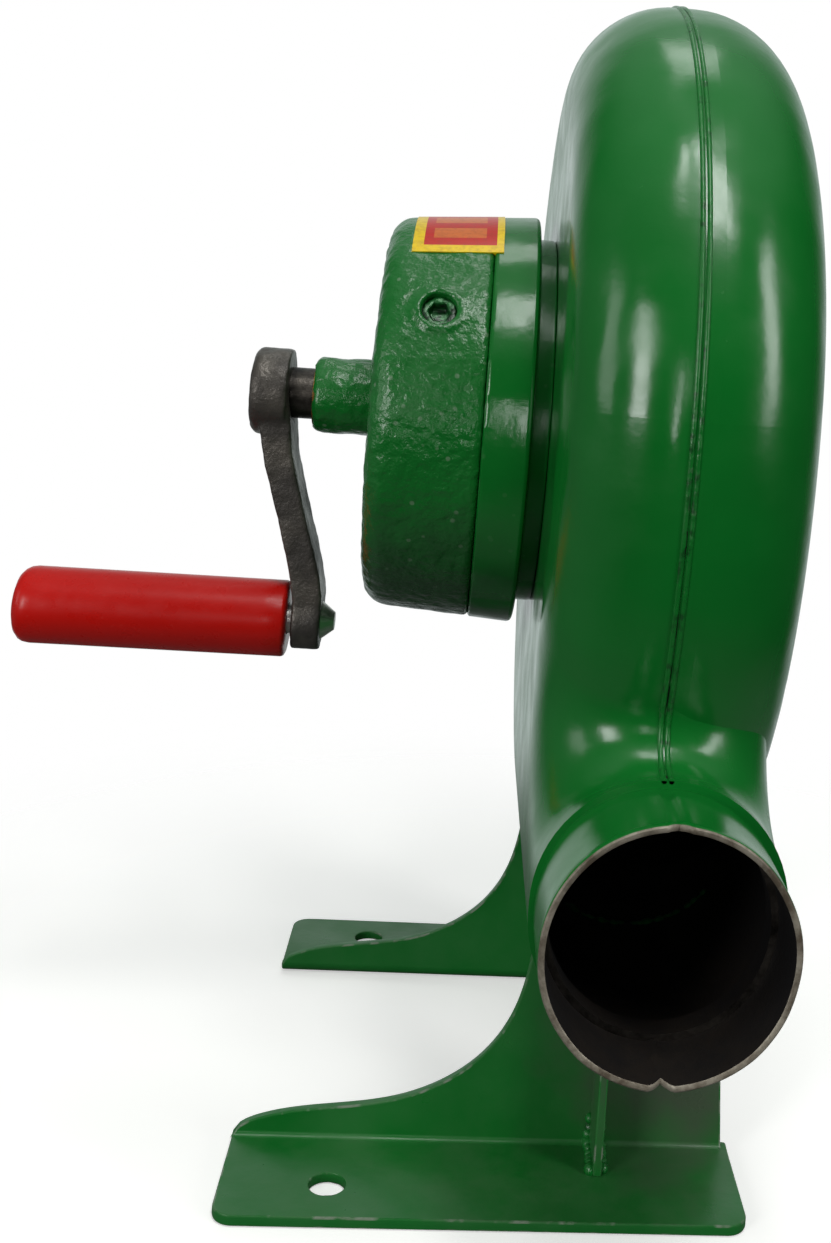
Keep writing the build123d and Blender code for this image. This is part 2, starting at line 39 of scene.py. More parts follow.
import bmesh
import bpy
from bpy.props import FloatProperty, FloatVectorProperty, IntProperty, PointerProperty
from mathutils import Matrix, Vector, noise
from mathutils.bvhtree import BVHTree

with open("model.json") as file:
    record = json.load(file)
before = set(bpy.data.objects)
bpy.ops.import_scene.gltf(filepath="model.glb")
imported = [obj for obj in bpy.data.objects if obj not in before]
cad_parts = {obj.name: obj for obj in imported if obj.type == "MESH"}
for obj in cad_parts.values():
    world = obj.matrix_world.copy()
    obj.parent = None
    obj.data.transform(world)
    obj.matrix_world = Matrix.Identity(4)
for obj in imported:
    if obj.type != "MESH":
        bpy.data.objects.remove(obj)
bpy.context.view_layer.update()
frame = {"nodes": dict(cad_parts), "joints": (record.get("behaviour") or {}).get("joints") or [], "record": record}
MM = 0.001

JOINTS = {joint["name"]: joint for joint in frame["joints"]}
FAN_Z = JOINTS["fan_spin"]["pos_m"][2]        # height of the fan shaft and of the gear case's middle
GRIP_Z = JOINTS["grip_spin"]["pos_m"][2]
SEAM_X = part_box("scroll_gear_side")[1].x      # plane where the scroll's halves meet
OUTLET = next(m for m in frame["record"]["mounts"] if m["name"] == "outlet")["pos_m"]
NECK_Z = OUTLET[2]


# ---------------------------------------------------------------- colours and sizes
def linear(code):
    """Linear RGBA of an sRGB hex colour."""
    channels = [int(code[i:i + 2], 16) / 255 for i in (1, 3, 5)]
    return [c / 12.92 if c <= 0.04045 else ((c + 0.055) / 1.055) ** 2.4 for c in channels] + [1.0]


def colour(label, description, code):
    return FloatVectorProperty(name=label, description=description, subtype="COLOR", size=4, min=0, max=1,
                               default=linear(code))


def length(label, description, default):
    return FloatProperty(name=label, description=description, default=default, min=0, unit="LENGTH", precision=5)


class BlowerSizes(bpy.types.PropertyGroup):
    seam_radius: length("Seam ridge radius", "Radius of each of the two ridges along the seam", 0.62 * MM)
    seam_gap: length("Seam ridge offset", "Distance of each ridge from the seam's middle", 0.78 * MM)
    weld_radius: length("Weld bead radius", "Radius of the fillet welds on the feet", 2.1 * MM)
    weld_pitch: length("Weld ripple pitch", "Distance from one ripple of a weld to the next", 1.7 * MM)
    edge: length("Sheet edge rounding", "Rounding that the paint leaves on cut sheet edges", 0.45 * MM)
    casting_lump: length("Casting unevenness", "Height of the lumps that the sand mould leaves", 0.45 * MM)
    casting_voxel: length("Casting mesh size", "Size of the faces on the sand castings", 0.78 * MM)
    notch: length("Mouth notch depth", "Depth of the notch where the seam reaches the outlet's rim", 2.4 * MM)
    seed: IntProperty(name="Seed", description="Seed of everything uneven", default=7, min=0)


class BlowerColours(bpy.types.PropertyGroup):
    enamel: colour("Enamel", "Gloss enamel on the sheet steel", "#0c7428")
    enamel_deep: colour("Enamel in thick places", "The same enamel where it ran thick", "#085f1c")
    dust: colour("Dust", "Dry grey dust on the paint", "#6f7a68")
    iron: colour("Casting skin", "Dark skin of the unpainted iron arm", "#47433f")
    grip: colour("Grip", "Moulded plastic of the grip", "#c8140c")
    label_edge: colour("Label border", "Border printed on the label", "#f4cf12")
    label_field: colour("Label field", "Field printed on the label", "#c81d12")
    label_block: colour("Label blocks", "Blocks printed on the label's field", "#d9702e")
    floor: colour("Floor", "Studio floor", "#f2f1ee")


# ---------------------------------------------------------------- small tools
def sizes():
    return bpy.context.scene.blower_sizes


def colours():
    return bpy.context.scene.blower_colours


def add_object(name, data):
    piece = bpy.data.objects.new(name, data)
    bpy.context.scene.collection.objects.link(piece)
    return piece


def add_node(tree, kind, inputs=None, **settings):
    """One node: settings are its own properties, and each input takes a value or another node's socket."""
    node = tree.nodes.new(kind)
    for key, value in settings.items():
        setattr(node, key, value)
    for key, value in (inputs or {}).items():
        if isinstance(value, bpy.types.NodeSocket):
            tree.links.new(value, node.inputs[key])
        else:
            node.inputs[key].default_value = value
    return node


def mesh_from_bmesh(bm, name):
    mesh = bpy.data.meshes.new(name)
    bm.to_mesh(mesh)
    bm.free()
    return mesh


def smooth(mesh, sharp_angle=35):
    """Smooth shading that breaks at edges sharper than the angle in degrees."""
    if "custom_normal" in mesh.attributes:
        mesh.attributes.remove(mesh.attributes["custom_normal"])
    mesh.shade_smooth()
    mesh.set_sharp_from_angle(angle=math.radians(sharp_angle))


def even_normals(piece):
    """Let large flat faces keep their own normals where they run into a curve."""
    modifier = piece.modifiers.new("even normals", "WEIGHTED_NORMAL")
    modifier.keep_sharp = True


def merged_copy(node):
    """BMesh of a CAD node's mesh with its loose triangles merged."""
    bm = bmesh.new()
    bm.from_mesh(frame["nodes"][node].data)
    bmesh.ops.remove_doubles(bm, verts=bm.verts, dist=0.002 * MM)
    return bm


def evaluated_mesh(carrier):
    """Plain mesh of an object with its modifiers; the carrier is removed."""
    graph = bpy.context.evaluated_depsgraph_get()
    mesh = bpy.data.meshes.new_from_object(carrier.evaluated_get(graph))
    bpy.data.objects.remove(carrier)
    return mesh


def finish_piece(piece, body, slot, materials, *nodes):
    """Give a piece its materials and its body, and hide the CAD nodes that it stands for. slot is not used."""
    chosen = [face.material_index for face in piece.data.polygons]
    piece.data.materials.clear()
    for material in materials:
        piece.data.materials.append(finish(material))
    piece.data.polygons.foreach_set("material_index", chosen)
    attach(piece, body)
    if nodes:
        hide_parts(*nodes)
    return piece


def lumps(point, size, seed=0):
    """Smooth noise from -1 to 1 whose lumps are about size across."""
    return noise.noise(point / size + Vector((seed * 3.7, seed * 1.3, seed * 2.9)))


# ---------------------------------------------------------------- finishes
def new_finish(name, base, metallic, roughness, **sockets):
    """Material with one shader, and its place on the piece in millimetres."""
    material = bpy.data.materials.new(name)
    material.use_nodes = True
    tree = material.node_tree
    tree.nodes.clear()
    shader = add_node(tree, "ShaderNodeBsdfPrincipled",
                      {"Base Color": base, "Metallic": metallic, "Roughness": roughness})
    for key, value in sockets.items():
        shader.inputs[key.replace("_", " ")].default_value = value
    add_node(tree, "ShaderNodeOutputMaterial", {"Surface": shader.outputs[0]})
    place = add_node(tree, "ShaderNodeTexCoord")
    in_mm = add_node(tree, "ShaderNodeMapping", {"Vector": place.outputs["Object"], "Scale": (1000, 1000, 1000)})
    return material, tree, shader, in_mm.outputs[0]


def noise_field(tree, at, size_mm, detail=2.0, roughness=0.5):
    """Smooth noise whose features are about size_mm across."""
    return add_node(tree, "ShaderNodeTexNoise", {"Vector": at, "Scale": 1 / size_mm, "Detail": detail,
                                                 "Roughness": roughness}).outputs[0]


def stained(tree, field, start, end, under, over, amount=1.0):
    """Colour that goes from under to over as the field runs from start to end, at most by the amount."""
    share = add_node(tree, "ShaderNodeMapRange", {0: field, 1: start, 2: end, 3: 0.0, 4: amount})
    return add_node(tree, "ShaderNodeMix", {0: share.outputs[0], 6: under, 7: over}, data_type="RGBA").outputs[2]


def embossed(tree, shader, height, depth_mm):
    """Raise the surface by the height field, whose full range is depth_mm."""
    bump = add_node(tree, "ShaderNodeBump", {"Height": height, "Distance": depth_mm * MM, "Strength": 1.0})
    tree.links.new(bump.outputs[0], shader.inputs["Normal"])


def enamel_finish(name, dusty, rough, peel, specks):
    """Green enamel: colour drifts over 50 mm, dust lies in patches, and the gloss breaks up.

    dusty and specks are amounts from 0 to 1, rough is the roughness of clean paint, and peel the depth in
    millimetres of its surface.
    """
    tint = colours()
    material, tree, shader, at = new_finish(name, tint.enamel, 0.0, rough, IOR=1.52)
    drift = noise_field(tree, at, 50, 3.0)
    paint = add_node(tree, "ShaderNodeMix", {0: drift, 6: tint.enamel_deep, 7: tint.enamel}, data_type="RGBA")
    # dust in 25 mm patches, thicker on faces that look up
    patches = noise_field(tree, at, 25, 6.0, 0.65)
    facing = add_node(tree, "ShaderNodeNewGeometry")
    lift = add_node(tree, "ShaderNodeSeparateXYZ", {0: facing.outputs["Normal"]})
    upward = add_node(tree, "ShaderNodeMapRange", {0: lift.outputs[2], 1: -0.2, 2: 1.0, 3: 0.25, 4: 1.0})
    dust = add_node(tree, "ShaderNodeMapRange", {0: patches, 1: 0.38, 2: 0.72, 3: 0.0, 4: dusty})
    film = add_node(tree, "ShaderNodeMath", {0: dust.outputs[0], 1: upward.outputs[0]}, operation="MULTIPLY")
    coat = add_node(tree, "ShaderNodeMix", {0: film.outputs[0], 6: paint.outputs[2], 7: tint.dust},
                    data_type="RGBA")
    # specks about 1 mm across where grit or bare metal shows through
    cells = add_node(tree, "ShaderNodeTexVoronoi", {"Vector": at, "Scale": 1 / 4.5, "Randomness": 1.0})
    speck = add_node(tree, "ShaderNodeMapRange", {0: cells.outputs[0], 1: 0.10, 2: 0.16, 3: specks, 4: 0.0})
    top = add_node(tree, "ShaderNodeMix", {0: speck.outputs[0], 6: coat.outputs[2], 7: linear("#8fa38c")},
                   data_type="RGBA").outputs[2]
    tree.links.new(top, shader.inputs["Base Color"])
    haze = noise_field(tree, at, 14, 4.0)
    gloss = add_node(tree, "ShaderNodeMapRange", {0: haze, 1: 0.3, 2: 0.7, 3: rough * 0.8, 4: rough * 1.5})
    dull = add_node(tree, "ShaderNodeMath", {0: film.outputs[0], 1: 0.5, 2: gloss.outputs[0]},
                    operation="MULTIPLY_ADD")
    tree.links.new(dull.outputs[0], shader.inputs["Roughness"])
    # peel in 2.4 mm cells, drawn a little coarser than sprayed enamel's so that it shows, over a 22 mm wave
    fine = add_node(tree, "ShaderNodeBump", {"Height": noise_field(tree, at, 2.4, 3.0), "Distance": peel * MM,
                                             "Strength": 1.0})
    wave = add_node(tree, "ShaderNodeBump", {"Height": noise_field(tree, at, 22, 1.0), "Distance": 0.8 * MM,
                                             "Strength": 1.0, "Normal": fine.outputs[0]})
    tree.links.new(wave.outputs[0], shader.inputs["Normal"])
    return material, tree, shader, at, top


def gloss_enamel():
    """Air-sprayed gloss enamel on pressed sheet: deep even green, clear reflections with a slight wave."""
    return enamel_finish("gloss_enamel", 0.03, 0.18, 0.035, 0.0)[0]


def seam_enamel():
    """The same enamel over a ground weld: duller, pitted, with dark pinholes."""
    material, tree, shader, at, top = enamel_finish("seam_enamel", 0.05, 0.26, 0.25, 0.15)
    pitted = stained(tree, noise_field(tree, at, 3, 3.0), 0.55, 0.68, top, linear("#0d3a17"), 0.8)
    tree.links.new(pitted, shader.inputs["Base Color"])
    return material


def foot_enamel():
    """Enamel on the folded feet: thinner, scuffed and dusty, with a painted grey reflection on the front web near its
    welds.
    """
    material, tree, shader, at, top = enamel_finish("foot_enamel", 0.22, 0.30, 0.05, 0.0)
    # painted reflection: a grey patch on the front web, 30 mm across, fading over 20 mm more
    away = add_node(tree, "ShaderNodeVectorMath", {0: at, 1: (84, -47, 30)}, operation="DISTANCE")
    ragged = add_node(tree, "ShaderNodeMath", {0: noise_field(tree, at, 12, 4.0), 1: 26.0, 2: away.outputs["Value"]},
                      operation="MULTIPLY_ADD")
    painted_web_reflection = stained(tree, ragged.outputs[0], 50.0, 28.0, top, linear("#4b4f45"), 0.85)
    tree.links.new(painted_web_reflection, shader.inputs["Base Color"])
    return material


def edge_enamel():
    """Enamel worn thin on cut edges: paler, with steel showing in short runs."""
    material, tree, shader, at, top = enamel_finish("edge_enamel", 0.5, 0.32, 0.05, 0.4)
    worn = stained(tree, noise_field(tree, at, 5, 5.0), 0.52, 0.62, top, linear("#7d8a78"), 0.8)
    tree.links.new(worn, shader.inputs["Base Color"])
    return material


def painted_low_shade(tree, shader, at, top, wander_mm, unshaded_z, shaded_z, shade_code, amount):
    """Darken enamel below a ragged level as painted shade: none at height unshaded_z in millimetres, the full amount
    at shaded_z.
    """
    height = add_node(tree, "ShaderNodeSeparateXYZ", {0: at})
    level = add_node(tree, "ShaderNodeMath", {0: noise_field(tree, at, 16, 4.0), 1: wander_mm, 2: height.outputs[2]},
                     operation="MULTIPLY_ADD")
    # painted shade: the enamel turns to the dark colour towards the bottom
    shaded_colour = stained(tree, level.outputs[0], unshaded_z, shaded_z, top, linear(shade_code), amount)
    tree.links.new(shaded_colour, shader.inputs["Base Color"])


def casting_enamel():
    """Enamel flooded over a sand casting: lumpy, with paler grit, and painted shade darkening the lower part."""
    material, tree, shader, at, top = enamel_finish("casting_enamel", 0.10, 0.22, 0.50, 0.35)
    # painted shade on the cover's lower part, from 184 mm down to 158 mm
    painted_low_shade(tree, shader, at, top, 40.0, 184.0, 158.0, "#1c2a1e", 0.72)
    return material


def base_enamel():
    """Enamel on the turned case base: smoother than the cover, with the same painted shade low down."""
    material, tree, shader, at, top = enamel_finish("base_enamel", 0.05, 0.16, 0.05, 0.05)
    # painted shade on the base's lower part, from 176 mm down to 150 mm
    painted_low_shade(tree, shader, at, top, 36.0, 176.0, 150.0, "#1a3020", 0.6)
    return material


def bare_rim():
    """Mild steel sheet with its edge rubbed bare: grey-beige, dull, with rust freckles."""
    material, tree, shader, at = new_finish("bare_rim", linear("#8d8577"), 0.35, 0.5)
    freckles = stained(tree, noise_field(tree, at, 6, 6.0, 0.7), 0.4, 0.62, linear("#9a9384"), linear("#5e5446"))
    tree.links.new(freckles, shader.inputs["Base Color"])
    embossed(tree, shader, noise_field(tree, at, 0.8, 3.0), 0.08)
    return material


def airway_painted_shade():
    """Bare steel inside the air way, coloured near black as painted shade, with brown dust lying along the bottom."""
    material, tree, shader, at = new_finish("airway_painted_shade", linear("#141112"), 0.15, 0.62)
    facing = add_node(tree, "ShaderNodeNewGeometry")
    lift = add_node(tree, "ShaderNodeSeparateXYZ", {0: facing.outputs["Normal"]})
    settled = add_node(tree, "ShaderNodeMapRange", {0: lift.outputs[2], 1: 0.1, 2: 1.0, 3: 0.0, 4: 0.9})
    cloud = noise_field(tree, at, 9, 7.0, 0.7)
    thick = add_node(tree, "ShaderNodeMapRange", {0: cloud, 1: 0.35, 2: 0.65, 3: 0.15, 4: 1.0})
    amount = add_node(tree, "ShaderNodeMath", {0: settled.outputs[0], 1: thick.outputs[0]}, operation="MULTIPLY")
    # near-black painted shade, turning brown where dust settles
    mixed = add_node(tree, "ShaderNodeMix", {0: amount.outputs[0], 6: linear("#0b090a"), 7: linear("#1f1811")},
                     data_type="RGBA")
    tree.links.new(mixed.outputs[2], shader.inputs["Base Color"])
    embossed(tree, shader, cloud, 0.3)
    return material


def arm_iron():
    """Malleable iron as cast, oiled by handling: dark grey-brown skin, fine grain, paler on worn places."""
    material, tree, shader, at = new_finish("arm_iron", colours().iron, 0.45, 0.42)
    rub = noise_field(tree, at, 11, 5.0)
    worn = stained(tree, rub, 0.42, 0.66, colours().iron, linear("#6e6860"), 0.7)
    tree.links.new(worn, shader.inputs["Base Color"])
    gloss = add_node(tree, "ShaderNodeMapRange", {0: rub, 1: 0.3, 2: 0.7, 3: 0.5, 4: 0.32})
    tree.links.new(gloss.outputs[0], shader.inputs["Roughness"])
    embossed(tree, shader, noise_field(tree, at, 0.9, 4.0), 0.18)
    return material


def grip_plastic():
    """Injection-moulded polypropylene: saturated red, satin gloss, fine scuffs where the hand holds it."""
    material, tree, shader, at = new_finish("grip_plastic", colours().grip, 0.0, 0.3, IOR=1.49,
                                            Specular_IOR_Level=0.3)
    mixed = add_node(tree, "ShaderNodeMix", {0: noise_field(tree, at, 20, 4.0), 6: colours().grip,
                                             7: linear("#b8100a")}, data_type="RGBA")
    cells = add_node(tree, "ShaderNodeTexVoronoi", {"Vector": at, "Scale": 1 / 3.5})
    speck = add_node(tree, "ShaderNodeMapRange", {0: cells.outputs[0], 1: 0.07, 2: 0.12, 3: 0.10, 4: 0.0})
    spots = add_node(tree, "ShaderNodeMix", {0: speck.outputs[0], 6: mixed.outputs[2], 7: linear("#c9564d")},
                     data_type="RGBA")
    tree.links.new(spots.outputs[2], shader.inputs["Base Color"])
    scuff = noise_field(tree, at, 4, 4.0)
    gloss = add_node(tree, "ShaderNodeMapRange", {0: scuff, 1: 0.35, 2: 0.7, 3: 0.26, 4: 0.36})
    tree.links.new(gloss.outputs[0], shader.inputs["Roughness"])
    embossed(tree, shader, scuff, 0.04)
    return material


def printed_film():
    """Gloss vinyl label: yellow border round a red field with plain orange blocks, inks slightly uneven."""
    tint = colours()
    low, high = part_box("name_label")
    material, tree, shader, at = new_finish("printed_film", tint.label_field, 0.0, 0.28, IOR=1.5,
                                            Specular_IOR_Level=0.25)
    parts = add_node(tree, "ShaderNodeSeparateXYZ", {0: at})
    rise = add_node(tree, "ShaderNodeMath", {0: parts.outputs[2], 1: FAN_Z / MM}, operation="SUBTRACT")
    angle = add_node(tree, "ShaderNodeMath", {0: parts.outputs[1], 1: rise.outputs[0]}, operation="ARCTAN2")
    # across runs from 0 to 1 along the shaft's direction, and down from 0 at the top to 1 at the lower edge
    across = add_node(tree, "ShaderNodeMapRange", {0: parts.outputs[0], 1: low.x / MM, 2: high.x / MM})
    down = add_node(tree, "ShaderNodeMapRange", {0: angle.outputs[0], 1: math.radians(-2.4), 2: math.radians(-36.4)})

    def bar(value, start, end):
        """1 between start and end of the value, else 0."""
        above = add_node(tree, "ShaderNodeMath", {0: value, 1: start}, operation="GREATER_THAN")
        below = add_node(tree, "ShaderNodeMath", {0: value, 1: end}, operation="LESS_THAN")
        return add_node(tree, "ShaderNodeMath", {0: above.outputs[0], 1: below.outputs[0]},
                        operation="MULTIPLY").outputs[0]

    def panel(left, right, top, bottom):
        return add_node(tree, "ShaderNodeMath", {0: bar(across.outputs[0], left, right),
                                                 1: bar(down.outputs[0], top, bottom)},
                        operation="MULTIPLY").outputs[0]

    field = add_node(tree, "ShaderNodeMix", {0: panel(0.12, 0.92, 0.07, 0.90), 6: tint.label_edge,
                                             7: tint.label_field}, data_type="RGBA")
    for left, right, top, bottom in ((0.22, 0.80, 0.20, 0.44), (0.22, 0.80, 0.58, 0.78)):
        field = add_node(tree, "ShaderNodeMix", {0: panel(left, right, top, bottom), 6: field.outputs[2],
                                                 7: tint.label_block}, data_type="RGBA")
    rub = noise_field(tree, at, 1.6, 5.0)
    worn = stained(tree, rub, 0.45, 0.75, field.outputs[2], linear("#8d3a1e"), 0.35)
    tree.links.new(worn, shader.inputs["Base Color"])
    embossed(tree, shader, rub, 0.04)
    return material


def metal_finish(name, code, stain_code, roughness, grain_mm, depth_mm, stretch=(1, 1, 1)):
    """Bare metal: a stained base colour, and a grain of the given size that may be drawn out one way."""
    material, tree, shader, at = new_finish(name, linear(code), 1.0, roughness)
    mixed = stained(tree, noise_field(tree, at, 7, 5.0, 0.6), 0.4, 0.68, linear(code), linear(stain_code))
    tree.links.new(mixed, shader.inputs["Base Color"])
    drawn = add_node(tree, "ShaderNodeMapping", {"Vector": at, "Scale": stretch})
    grain = noise_field(tree, drawn.outputs[0], grain_mm, 3.0)
    gloss = add_node(tree, "ShaderNodeMapRange", {0: grain, 1: 0.3, 2: 0.7, 3: roughness * 0.8,
                                                  4: roughness * 1.35})
    tree.links.new(gloss.outputs[0], shader.inputs["Roughness"])
    embossed(tree, shader, grain, depth_mm)
    return material


def turned_steel():
    """Lathe-turned mild steel: bright grey, rings 0.4 mm apart round the shaft."""
    return metal_finish("turned_steel", "#a5a19a", "#6c655c", 0.28, 0.4, 0.02, (1, 0.02, 0.02))


def plated_steel():
    """Zinc-plated steel of the grip's pin: bright, pale and slightly clouded."""
    return metal_finish("plated_steel", "#e0dfda", "#b4b1aa", 0.40, 1.0, 0.03)


def oiled_steel():
    """Shaft steel dark with old oil and paint dust."""
    return metal_finish("oiled_steel", "#5b5650", "#2c2a28", 0.38, 0.8, 0.06)


def zinc_sheet():
    """Hot-dip galvanised sheet: pale grey with 9 mm spangles."""
    material, tree, shader, at = new_finish("zinc_sheet", linear("#a9adb0"), 1.0, 0.4)
    spangle = add_node(tree, "ShaderNodeTexVoronoi", {"Vector": at, "Scale": 1 / 9})
    tone = add_node(tree, "ShaderNodeSeparateColor", {0: spangle.outputs["Color"]})
    mixed = add_node(tree, "ShaderNodeMix", {0: tone.outputs[0], 6: linear("#8e9397"), 7: linear("#b9bcbe")},
                     data_type="RGBA")
    tree.links.new(mixed.outputs[2], shader.inputs["Base Color"])
    gloss = add_node(tree, "ShaderNodeMapRange", {0: tone.outputs[1], 3: 0.3, 4: 0.5})
    tree.links.new(gloss.outputs[0], shader.inputs["Roughness"])
    embossed(tree, shader, spangle.outputs[0], 0.03)
    return material


def die_cast():
    """Die-cast aluminium: pale, dull, faintly clouded."""
    return metal_finish("die_cast", "#b4b4b2", "#8d8d8b", 0.45, 1.2, 0.05)


def bush_bronze():
    """Sintered bronze bush: brown-gold, fine pores dark with oil."""
    return metal_finish("bush_bronze", "#a67c45", "#6b4b26", 0.42, 0.5, 0.06)


def socket_steel():
    """Black-oxide steel plug under a flood of green paint: dark, wet-looking, with green in its hollows."""
    material, tree, shader, at = new_finish("socket_steel", linear("#12301a"), 0.2, 0.3)
    flood = noise_field(tree, at, 2.2, 3.0)
    mixed = stained(tree, flood, 0.42, 0.6, linear("#0c2a13"), linear("#1f6a30"))
    tree.links.new(mixed, shader.inputs["Base Color"])
    embossed(tree, shader, flood, 0.4)
    return material


def studio_floor():
    """Matt white table, faintly clouded, that fades into the white backdrop; it is dim in the paint's reflections."""
    material, tree, shader, at = new_finish("studio_floor", colours().floor, 0.0, 0.9)
    mixed = add_node(tree, "ShaderNodeMix", {0: noise_field(tree, at, 400, 3.0), 6: colours().floor,
                                             7: linear("#eceae6")}, data_type="RGBA")
    ray = add_node(tree, "ShaderNodeLightPath")
    seen = add_node(tree, "ShaderNodeMix", {0: ray.outputs["Is Camera Ray"], 6: (0.16, 0.16, 0.16, 1),
                                            7: mixed.outputs[2]}, data_type="RGBA")
    tree.links.new(seen.outputs[2], shader.inputs["Base Color"])
    glow = add_node(tree, "ShaderNodeMath", {0: ray.outputs["Is Camera Ray"], 1: 0.42}, operation="MULTIPLY")
    shader.inputs["Emission Color"].default_value = (1, 1, 1, 1)
    tree.links.new(glow.outputs[0], shader.inputs["Emission Strength"])
    away = add_node(tree, "ShaderNodeVectorMath", {0: at, 1: (60, 0, 0)}, operation="DISTANCE")
    fade = add_node(tree, "ShaderNodeMapRange", {0: away.outputs["Value"], 1: 140.0, 2: 330.0, 3: 1.0, 4: 0.0},
                    interpolation_type="SMOOTHSTEP")
    tree.links.new(fade.outputs[0], shader.inputs["Alpha"])
    return material


FINISHES = {maker.__name__: maker for maker in (
    gloss_enamel, seam_enamel, foot_enamel, edge_enamel, casting_enamel, base_enamel, bare_rim, airway_painted_shade,
    arm_iron, grip_plastic, printed_film, turned_steel, plated_steel, oiled_steel, zinc_sheet, die_cast, bush_bronze,
    socket_steel, studio_floor)}


def finish(name):
    """The material of that name, made the first time it is asked for."""
    return bpy.data.materials.get(name) or FINISHES[name]()


# ---------------------------------------------------------------- scroll
BACK_Z, BACK_R = 176.1 * MM, 119.2 * MM             # circle of the scroll's back
FRONT_Z, FRONT_R = 189.3 * MM, 106 * MM             # circle from the top to the front
LOW_R = 132.4 * MM                                  # tall radius of the ellipse below it
NECK_R, NECK_END, TONGUE_R = 28 * MM, -103 * MM, 9 * MM
SPIGOT_END = -107.5 * MM
SLEEVE_R, SLEEVE_WALL, SLEEVE_END = 26.5 * MM, 1.5 * MM, -125 * MM


def scroll_edge(step):
    """Points (y, z) with outward normals round the scroll's edge, from the mouth's bottom round to its top."""
    points = []

    def arc(centre_z, radius, start, end):
        count = max(2, round(abs(math.radians(end - start)) * radius / step))
        for i in range(count):
            a = math.radians(start + (end - start) * i / count)
            points.append(((radius * math.cos(a), centre_z + radius * math.sin(a)), (math.cos(a), math.sin(a))))

    def on_ellipse(t):
        place = Vector((-FRONT_R * math.cos(t), FRONT_Z - LOW_R * math.sin(t)))
        out = Vector((-math.cos(t) / FRONT_R, -math.sin(t) / LOW_R)).normalized()
        return place, out

    count = round(-NECK_END / step)
    for i in range(count):
        points.append(((NECK_END * (1 - i / count), NECK_Z - NECK_R), (0, -1)))
    arc(BACK_Z, BACK_R, -90, 90)
    arc(FRONT_Z, FRONT_R, 90, 180)
    # down the ellipse until the tongue's rounding takes over
    top = NECK_Z + NECK_R
    low, high = 0.0, math.pi / 2
    for _ in range(50):
        middle = (low + high) / 2
        place, out = on_ellipse(middle)
        low, high = (middle, high) if place.y + TONGUE_R * out.y > top + TONGUE_R else (low, middle)
    count = round(low * LOW_R / step)
    for i in range(count):
        place, out = on_ellipse(low * i / count)
        points.append((tuple(place), tuple(out)))
    place, out = on_ellipse(low)
    centre = place + TONGUE_R * out
    start, end = math.atan2(out.y, out.x) % (2 * math.pi), math.pi / 2
    for i in range(13):
        a = start + (end - start) * i / 12
        away = Vector((math.cos(a), math.sin(a)))
        points.append((tuple(centre - TONGUE_R * away), tuple(away)))
    for i in range(1, 4):
        points.append(((centre.x + (NECK_END - centre.x) * i / 3, top), (0, 1)))
    return points


def sheet_copy(node, side):
    """Merged copy of a scroll half with its exact shading.

    Faces that look into the air way carry the second material and the spigot's cut end the third. side is the
    half's direction from the seam.
    """
    source = frame["nodes"][node].data
    bm = bmesh.new()
    bm.from_mesh(source)
    kept = bm.loops.layers.float_vector.new("kept_normal")
    directions = [normal.vector.copy() for normal in source.corner_normals]
    for face in bm.faces:
        for loop in face.loops:
            loop[kept] = directions[loop.index]
    bmesh.ops.remove_doubles(bm, verts=bm.verts, dist=0.002 * MM)
    bm.normal_update()
    tree = BVHTree.FromBMesh(bm)
    for face in bm.faces:
        centre, out = face.calc_center_median(), face.normal
        inward = out.x * side < 0
        if abs(out.x) < 0.02:
            # edge-on to the seam: the far wall of the air way is at least 45 mm away
            distance = tree.ray_cast(centre + out * 0.2 * MM, out, 0.3)[3]
            inward = distance is not None and distance > 45 * MM
        # faces inside the air way take the second material, painted shade
        face.material_index = int(inward)
        if out.y < -0.9 and centre.y < SPIGOT_END + 0.5 * MM:
            face.material_index = 2
    mesh = mesh_from_bmesh(bm, "pressed_" + node)
    mesh.shade_smooth()
    layer = mesh.attributes["kept_normal"]
    mesh.normals_split_custom_set([item.vector for item in layer.data])
    mesh.attributes.remove(mesh.attributes["kept_normal"])
    return add_object("pressed_" + node, mesh)


class BLOWER_OT_scroll(bpy.types.Operator):
    """Build the two pressed halves of the scroll"""
    bl_idname = "blower.scroll"
    bl_label = "Scroll halves"

    def execute(self, context):
        for node, side in (("scroll_gear_side", -1), ("scroll_inlet_side", 1)):
            finish_piece(sheet_copy(node, side), "housing", "green_enamel",
                         ("gloss_enamel", "airway_painted_shade", "oiled_steel"), node)
        return {"FINISHED"}


